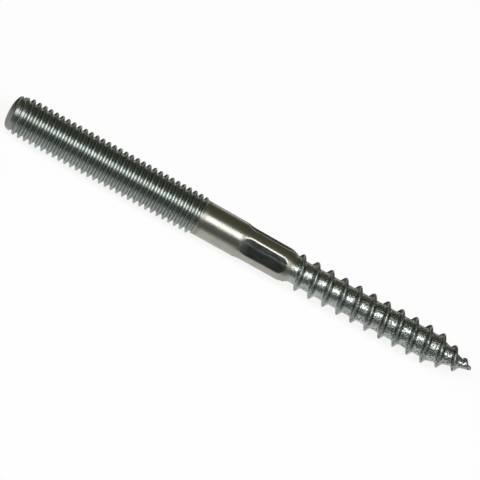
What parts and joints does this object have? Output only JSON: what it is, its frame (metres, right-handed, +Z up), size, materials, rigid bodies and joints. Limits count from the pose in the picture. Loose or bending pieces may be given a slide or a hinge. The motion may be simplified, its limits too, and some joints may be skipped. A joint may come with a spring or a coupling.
{
  "type": "hanger bolt",
  "caption": "Headless hanger bolt with a machine thread on one end, drive flats on its plain shank, and a coarse wood-screw thread with a gimlet point on the other end.",
  "frame": {"origin": "middle of the bolt's length, on the surface that it lies on, under its axis", "axes": "+X along the bolt's axis towards the point of the wood thread, +Z up from the surface that it lies on"},
  "size_m": [0.1, 0.0078, 0.0078],
  "materials": {
    "zinc_plated_steel": "bright zinc plating"
  },
  "bodies": {
    "root": {"hanger_bolt": "zinc_plated_steel"}
  },
  "joints": []
}
